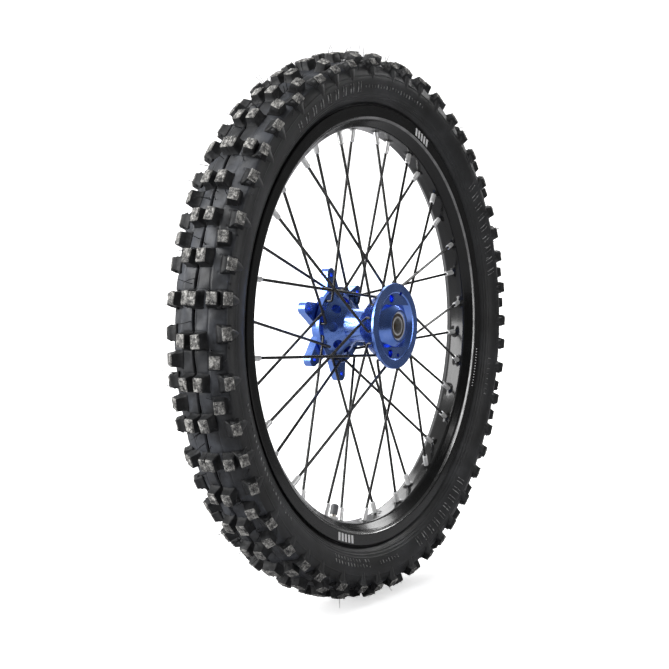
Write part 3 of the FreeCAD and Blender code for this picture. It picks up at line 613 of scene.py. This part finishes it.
def carcass_mesh():
    """Carcass turned from its section, with the moulded pads raised between the tread blocks."""
    half = tyre_half_section()
    crown = np.arange(SHOULDER_Y, -SHOULDER_Y, -0.7)
    outside = half + [(float(tread_surface_r(y)), float(y)) for y in crown]
    outside += [(r, -y) for r, y in reversed(half)]
    cavity = cavity_half_section()
    inside = [(r, -y) for r, y in reversed(cavity)]
    inside += arc_points((325.0, -27.0), (331.5, 0.0), (325.0, 27.0), 14)
    inside += cavity
    section = np.array(outside + inside)
    tread = np.zeros(len(section), bool)
    tread[len(half) - 2:len(half) + len(crown) + 2] = True

    steps_per_row = 150
    row_degrees = np.arange(steps_per_row) * (360 / TREAD_ROWS) / steps_per_row
    degrees = np.concatenate([row_degrees + 360 / TREAD_ROWS * k for k in range(TREAD_ROWS)])
    relief = tread_relief(np.tile(row_degrees, TREAD_ROWS)[:, None], section[None, :, 1])
    fade = np.clip((SHOULDER_Y + 3 - np.abs(section[:, 1])) / 3, 0, 1)
    radius = section[None, :, 0] + np.where(tread[None, :], relief * fade[None, :], 0)
    points = around_wheel(radius, section[None, :, 1], degrees[:, None] + TREAD_PHASE_DEG)
    faces = grid_faces(len(degrees), len(section))
    across = np.abs(section[:, 1])
    shares = np.where(tread, PAD, SIDEWALL)
    # The centre groove's faces take the painted shade.
    shares[tread & (across < GROOVE_HALF - 0.5)] = GROOVE_PAINTED_SHADE
    kinds = np.tile(shares, len(degrees))
    return points.reshape(-1, 3), faces, kinds


def block_ring(half_width, half_length, corner, level):
    """Rounded rectangle: (out along the block, across, around)."""
    corner = min(corner, 0.8 * half_width, 0.8 * half_length)
    points = []
    for sign_w, sign_l, start in ((1, 1, 0), (-1, 1, 90), (-1, -1, 180), (1, -1, 270)):
        for step in range(4):
            angle = math.radians(start + 30 * step)
            points.append((level, sign_w * (half_width - corner) + corner * math.cos(angle),
                           sign_l * (half_length - corner) + corner * math.sin(angle)))
    return points


def block_mesh(width, length, height):
    """One tread block, top at level 0: flared root, drafted sides, nibbled edge, uneven rough top."""
    half_w, half_l = width / 2, length / 2
    wear = rng.uniform(-0.3, 0.3)
    levels = [
        (-height - 2.5, 4.2, 2.4), (-height + 0.4, 2.9, 2.0), (-height + 1.6, 1.9, 1.6),
        (-height * 0.5, 1.0, 1.1), (-1.3, 0.35, 0.9), (-0.45, 0.12, 0.8),
        (-0.05, -0.35, 0.7), (0.1, -1.7, 0.6), (0.15, -3.1, 0.5),
    ]
    points, faces, kinds = [], [], []
    for level, grow, corner in levels:
        points += block_ring(half_w + grow, half_l + grow, corner, level)
    per_ring = len(points) // len(levels)
    for ring_index in range(len(levels) - 1):
        for j in range(per_ring):
            k = (j + 1) % per_ring
            low, high = ring_index * per_ring, (ring_index + 1) * per_ring
            faces.append((low + j, low + k, high + k, high + j))
            kinds.append(BLOCK_TOP_WORN_AND_LIT if ring_index >= 4 else BLOCK_SIDE)
    last = (len(levels) - 1) * per_ring
    for centre, ring_start, kind in ((0.2, last, BLOCK_TOP_WORN_AND_LIT), (-height - 2.5, 0, BLOCK_SIDE)):
        middle = len(points)
        points.append((centre, 0.0, 0.0))
        for j in range(per_ring):
            edge = (ring_start + j, ring_start + (j + 1) % per_ring)
            faces.append((*edge, middle) if kind == BLOCK_TOP_WORN_AND_LIT else (*reversed(edge), middle))
            kinds.append(kind)
    points = np.array(points)
    top = np.flatnonzero(points[:, 0] > -0.6)
    for index in top:
        points[index] += (wear + rng.uniform(-0.7, 0.4), rng.uniform(-0.4, 0.4), rng.uniform(-0.4, 0.4))
    edge = np.flatnonzero((points[:, 0] > -height * 0.6) & (points[:, 0] < -0.6))
    for index in edge:
        points[index, 1:] += (rng.uniform(-0.2, 0.2), rng.uniform(-0.2, 0.2))
    return points, faces, kinds


def twisted(points, degrees):
    """Block points turned about the block's own outward axis."""
    cosine, sine = math.cos(math.radians(degrees)), math.sin(math.radians(degrees))
    out, across, around = points[:, 0], points[:, 1], points[:, 2]
    return np.stack([out, across * cosine - around * sine, across * sine + around * cosine], -1)


def place_block(points, degrees, y, lean, top_r, side):
    """From block axes (out, across, around) to the wheel."""
    out, across, around = points[:, 0], points[:, 1], points[:, 2]
    tilt = math.radians(lean)
    radius = top_r + out * math.cos(tilt) - side * across * math.sin(tilt)
    axle = side * (y + out * math.sin(tilt)) + across * math.cos(tilt)
    turn = math.radians(degrees)
    x = radius * math.cos(turn) - around * math.sin(turn)
    z = radius * math.sin(turn) + around * math.cos(turn)
    return np.stack([x, axle, z], -1)


# Path of the rib under a shoulder block: radius, distance from the centre plane, half width.
RIB_PATH = [
    (333.5, 39.6, 7.0), (329.0, 40.4, 6.4), (324.0, 40.4, 5.6), (319.0, 39.8, 4.6),
    (314.5, 39.0, 3.5), (310.5, 38.0, 2.6), (306.5, 36.4, 2.0),
]


def buttress_mesh(side):
    """Rib that carries a shoulder block down onto the sidewall, in (radius, y, around) terms."""
    points, faces = [], []
    for radius, y, half in RIB_PATH:
        profile = ((-5.0, -half - 2.2), (-1.2, -half - 0.7), (0.0, -half + 0.6), (0.5, 0.0),
                   (0.0, half - 0.6), (-1.2, half + 0.7), (-5.0, half + 2.2))
        for offset, around in profile:
            points.append((radius, side * (y + offset), around))
    columns = len(profile)
    for row in range(len(RIB_PATH) - 1):
        low, high = row * columns, (row + 1) * columns
        for j in range(columns - 1):
            faces.append((low + j, low + j + 1, high + j + 1, high + j))
        faces.append((low + columns - 1, low, high, high + columns - 1))
    faces.append(tuple(range(columns)))
    last = (len(RIB_PATH) - 1) * columns
    faces.append(tuple(range(last + columns - 1, last - 1, -1)))
    return np.array(points), faces


def surface_bar(y_of, side, degrees, radius, width, length, slant, rise):
    """Small slanted bar standing on a turned surface, where y_of gives the surface's y at a radius."""
    steps = 4
    points, faces = [], []
    for step in range(steps + 1):
        share = step / steps - 0.5
        r = radius + share * length
        middle = share * slant
        for lift, around in ((-0.8, -width / 2), (rise, -width / 2), (rise, width / 2), (-0.8, width / 2)):
            points.append((r, side * (y_of(r) + lift), degrees + math.degrees((middle + around) / r)))
    for step in range(steps):
        low, high = step * 4, (step + 1) * 4
        for j in range(4):
            k = (j + 1) % 4
            faces.append((low + j, low + k, high + k, high + j))
    faces += [(0, 1, 2, 3), (steps * 4 + 3, steps * 4 + 2, steps * 4 + 1, steps * 4)]
    points = np.array(points)
    return around_wheel(points[:, 0], points[:, 1], points[:, 2]), faces


def sidewall_y(radius):
    wall = [point for point in tyre_half_section() if 284 < point[0] < 318]
    return float(np.interp(radius, [r for r, _ in wall], [y for _, y in wall]))


def sidewall_marks():
    """Plain raised dashes and outlined bars where a tyre carries its moulded writing."""
    parts = []
    rows = [
        (76, 104, 1.35, 302.5, 1.3, 4.2, 1.0), (-113, -98, 1.35, 304.0, 1.3, 4.2, 1.0),
        (-113, -98, 1.35, 298.0, 1.3, 3.4, 1.0), (-93, -84, 1.35, 302.0, 1.3, 4.2, 1.0),
        (196, 226, 1.35, 302.5, 1.3, 4.2, 1.0), (20, 26, 1.6, 300.0, 1.2, 3.4, 0.0),
        (-20, -8, 1.5, 299.0, 1.2, 3.4, 0.0),
    ]
    for start, end, pitch, radius, width, length, slant in rows:
        for place in np.arange(start, end, pitch):
            parts.append((place, radius, width, length * rng.choice([0.55, 1.0, 1.0]), slant))
    for middle in (-61, 119, 29):
        for index in range(9):
            place = middle + (index - 4) * 3.3
            for shift in (-0.55, 0.55):
                parts.append((place + shift, 303.0, 1.1, 12.0, 3.0))
    bars = []
    for side in (-1, 1):
        for place, radius, width, length, slant in parts:
            points, faces = surface_bar(sidewall_y, side, place, min(radius, 316 - length / 2),
                                        width, length, slant, 0.55)
            # The marks take the grey of the painted highlight.
            bars.append((points, faces, [MARK_PAINTED_HIGHLIGHT] * len(faces)))
    return bars


def vent_hair(base, direction, length):
    """Thin curved rubber hair left by a mould vent."""
    direction = Vector(direction).normalized()
    bend = Vector((rng.uniform(-1, 1), rng.uniform(-1, 1), rng.uniform(-1, 1)))
    points, faces = [], []
    sides, rings = 5, 7
    x_axis = direction.orthogonal().normalized()
    y_axis = direction.cross(x_axis)
    for ring_index in range(rings):
        s = ring_index / (rings - 1)
        middle = Vector(base) + direction * length * s + bend * length * 0.35 * s * s
        radius = 0.5 * (1 - 0.5 * s)
        for k in range(sides):
            angle = 2 * math.pi * k / sides
            points.append(middle + (x_axis * math.cos(angle) + y_axis * math.sin(angle)) * radius)
    for ring_index in range(rings - 1):
        for k in range(sides):
            a = ring_index * sides
            b = a + sides
            faces.append((a + k, a + (k + 1) % sides, b + (k + 1) % sides, b + k))
    faces.append(tuple(reversed(range(sides))))
    faces.append(tuple(range((rings - 1) * sides, rings * sides)))
    return np.array([tuple(p) for p in points]), faces


def join_parts(parts):
    """Joins (points, faces, kinds) lists into one."""
    points, faces, kinds = [], [], []
    start = 0
    for part_points, part_faces, part_kinds in parts:
        points.append(part_points)
        faces += [tuple(int(v) + start for v in face) for face in part_faces]
        kinds += list(part_kinds)
        start += len(part_points)
    return np.concatenate(points), faces, kinds


def make_tyre():
    materials = [rubber_pad(), rubber_block_side(), rubber_block_top_wear_and_painted_light(), MATERIALS["tyre_rubber"],
                 rubber_groove_painted_shade(), rubber_mark_painted_highlight()]
    parts = [carcass_mesh()]
    for row in range(TREAD_ROWS):
        start = TREAD_PHASE_DEG + row * 360 / TREAD_ROWS
        for degrees, y, lean, width, length, top_r, kind in BLOCKS:
            for side in (-1, 1):
                shape, faces, kinds = block_mesh(width, length, BLOCK_HEIGHT[kind])
                shape = twisted(shape, rng.uniform(-5, 5))
                if side < 0:
                    shape = shape * np.array([1, -1, 1])
                    faces = [tuple(reversed(face)) for face in faces]
                placed = place_block(shape, start + degrees + rng.uniform(-0.12, 0.12),
                                     y, lean, top_r, side)
                parts.append((placed, faces, kinds))
                if kind == "shoulder":
                    rib, rib_faces = buttress_mesh(side)
                    turn = start + degrees
                    rib = around_wheel(rib[:, 0], rib[:, 1], turn + np.degrees(rib[:, 2] / rib[:, 0]))
                    parts.append((rib, rib_faces, [SIDEWALL] * len(rib_faces)))
    parts += sidewall_marks()
    tyre = add_piece("tyre_tread_and_casing", *join_parts_for_piece(parts, materials))
    outward_normals(tyre)
    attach(tyre, WHEEL)
    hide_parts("tyre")


HAIR_COUNT = 420


def make_vent_hairs():
    """Rubber hairs near the centre groove, between the blocks and along the shoulders."""
    hairs = []
    for _ in range(HAIR_COUNT):
        degrees = rng.uniform(0, 360)
        y = rng.choice([-1, 1]) * rng.choice(
            [rng.uniform(16, 22), rng.uniform(34, 41), rng.uniform(2, 5)])
        base_r = float(tread_surface_r(y)) - (4 if abs(y) > 35 else 0.5)
        base = around_wheel(base_r, y, degrees)
        away = around_wheel(1.0, 0.4 * np.sign(y), degrees + rng.uniform(-25, 25))
        points, faces = vent_hair(base, away, rng.uniform(8, 21))
        hairs.append((points, faces, [0] * len(faces)))
    hair = add_piece("tyre_vent_hairs", *join_parts_for_piece(hairs, [rubber_block_side()]))
    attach(hair, WHEEL)


def join_parts_for_piece(parts, materials):
    points, faces, kinds = join_parts(parts)
    return points, faces, materials, kinds


def outward_normals(piece):
    mesh = bmesh.new()
    mesh.from_mesh(piece.data)
    bmesh.ops.recalc_face_normals(mesh, faces=mesh.faces)
    mesh.to_mesh(piece.data)
    mesh.free()


# ------------------------------------------------------------------ rim

WELL_R, WELL_Y = 257.5, 9.5
BED_R = 253.5
NIPPLE_COUNT = 36
DIMPLE_DEEP, DIMPLE_Y = 1.8, 3.4
NIPPLE_PITCH_DEG, NIPPLE_PHASE_DEG = 10.0, 8.1
VALVE_DEG, LOCK_HOLE_DEG = -106.9, 53.1
VALVE_HOLE_R, LOCK_HOLE_R = 4.4, 4.3
# Narrow bevel between the outer band and the inner wall, coloured in lighter grey metal as a painted
# highlight along the lip: from and to (radius, y).
LIP_BEVEL = ((266.4, 23.5), (263.0, 21.0))


def rim_half_section():
    """Lip, inner wall and bed on one side, from the bead seat to the middle of the bed."""
    return (line_points((WELL_R, WELL_Y), (266.5, 14.0), 4) + line_points((266.5, 14.0), (266.5, 19.6), 3)
            + arc_points((266.5, 19.6), (267.0, 20.1), (268.0, 20.4), 3)
            + line_points((268.0, 20.4), (279.6, 21.2), 4)
            + arc_points((279.6, 21.2), (281.2, 23.0), (280.0, 24.9), 6)
            + line_points((280.0, 24.9), (267.2, 24.0), 6)
            + arc_points((267.2, 24.0), (266.8, 23.9), LIP_BEVEL[0], 3)
            + line_points(*LIP_BEVEL, 4)
            + arc_points(LIP_BEVEL[1], (262.5, 20.4), (261.9, 19.7), 4)
            + line_points((261.9, 19.7), (256.0, 13.8), 6)
            + arc_points((256.0, 13.8), (254.6, 12.0), (253.9, 9.6), 6)
            + line_points((253.9, 9.6), (BED_R, 0.0), 9))


def dimple_depth(points_y, degrees):
    """How far the bed bulges inwards round each nipple, so that the nipple sits square."""
    depth = np.zeros(np.broadcast(points_y, degrees).shape)
    for index in range(NIPPLE_COUNT):
        place = NIPPLE_PHASE_DEG + index * NIPPLE_PITCH_DEG
        side = -1 if index % 2 == 0 else 1
        offset = np.radians((degrees - place + 180) % 360 - 180) * BED_R
        reach = np.hypot(offset / 8.5, (points_y - side * DIMPLE_Y) / 7.0)
        depth = np.maximum(depth, DIMPLE_DEEP * np.clip(1 - reach**2, 0, 1) ** 1.2)
    return depth


def cutter(name, radius, place_deg, low=235, high=275, sides=28):
    """Round cutting tool whose axis is a radius of the wheel, from low to high."""
    points, faces = [], []
    direction = Vector((math.cos(math.radians(place_deg)), 0, math.sin(math.radians(place_deg))))
    across = Vector((-direction.z, 0, direction.x))
    for reach in (low, high):
        for k in range(sides):
            angle = 2 * math.pi * k / sides
            edge = across * math.cos(angle) * radius + Vector((0, 1, 0)) * math.sin(angle) * radius
            points.append(tuple(direction * reach + edge))
    for k in range(sides):
        faces.append((k, (k + 1) % sides, sides + (k + 1) % sides, sides + k))
    faces.append(tuple(reversed(range(sides))))
    faces.append(tuple(range(sides, 2 * sides)))
    return add_piece(name, points, faces, [])


def make_rim():
    half = rim_half_section()
    section = np.array(half + [(r, -y) for r, y in reversed(half[1:])] + [(WELL_R, -WELL_Y)])
    degrees = np.arange(0, 360, 0.5)
    y = section[None, :, 1]
    in_bed = (section[:, 0] < 256.5) & (np.abs(section[:, 1]) < 14)
    depth = dimple_depth(y, degrees[:, None]) * in_bed[None, :]
    radius = section[None, :, 0] - depth
    points = around_wheel(radius, y, degrees[:, None]).reshape(-1, 3)
    # The bevel's faces take the lighter metal of the painted highlight.
    on_highlight_bevel = ((section[:, 0] > LIP_BEVEL[1][0]) & (section[:, 0] < LIP_BEVEL[0][0] + 0.1)
                & (np.abs(section[:, 1]) > LIP_BEVEL[1][1] - 0.1))
    faces = [tuple(face) for face in grid_faces(len(degrees), len(section)).tolist()]
    rim = add_piece("rim_shell", points, faces, [MATERIALS["rim_black"], painted_lip_highlight()],
                    np.tile(on_highlight_bevel.astype(int), len(degrees)))
    outward_normals(rim)
    tools = [cutter("cut", VALVE_HOLE_R, VALVE_DEG), cutter("cut", LOCK_HOLE_R, LOCK_HOLE_DEG)]
    for tool in tools:
        drill = rim.modifiers.new("drill", "BOOLEAN")
        drill.operation = "DIFFERENCE"
        drill.solver = "EXACT"
        drill.object = tool
    bake_modifiers(rim)
    for tool in tools:
        bpy.data.objects.remove(tool)
    shade_by_angle(rim, 35)
    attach(rim, WHEEL)
    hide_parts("rim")


def bake_modifiers(piece):
    """Replaces a piece's mesh by the result of its modifiers."""
    graph = bpy.context.evaluated_depsgraph_get()
    result = bpy.data.meshes.new_from_object(piece.evaluated_get(graph))
    piece.modifiers.clear()
    piece.data = result


def shade_by_angle(piece, degrees):
    """Smooth shading, but for edges sharper than an angle."""
    mesh = bmesh.new()
    mesh.from_mesh(piece.data)
    for face in mesh.faces:
        face.smooth = True
    limit = math.radians(degrees)
    for edge in mesh.edges:
        edge.smooth = len(edge.link_faces) != 2 or edge.calc_face_angle(0) < limit
    mesh.to_mesh(piece.data)
    mesh.free()


def rim_face_y(radius):
    return 24.0 + (radius - 267.4) / (280.0 - 267.4) * 0.9


# White print on the rim: two groups of slanted bars and one row of ticks.
PRINT_R = 273.5
BAR_MIDDLES_DEG, BAR_COUNT, BAR_PITCH_DEG = (70, -107), 5, 1.6
TICK_SPAN_DEG, TICK_PITCH_DEG = (-19, -7), 0.9


def make_rim_print():
    """Plain slanted bars, and a row of fine ticks, printed in white on the rim's outer band."""
    bars = []
    for side in (-1, 1):
        for middle in BAR_MIDDLES_DEG:
            for index in range(BAR_COUNT):
                place = middle + (index - BAR_COUNT // 2) * BAR_PITCH_DEG
                points, faces = surface_bar(rim_face_y, side, place, PRINT_R, 4.6, 9.5, 2.5, 0.12)
                bars.append((points, faces, [0] * len(faces)))
        for place in np.arange(*TICK_SPAN_DEG, TICK_PITCH_DEG):
            points, faces = surface_bar(rim_face_y, side, place, 274.0, 1.3, 2.6, 0.0, 0.1)
            bars.append((points, faces, [0] * len(faces)))
    piece = add_piece("rim_printed_bars", *join_parts_for_piece(bars, [white_print()]), smooth=False)
    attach(piece, WHEEL)


make_camera()
make_surround()
make_lights()
make_floor()
dress_cad_nodes()
make_tyre()
make_vent_hairs()
make_rim()
make_rim_print()
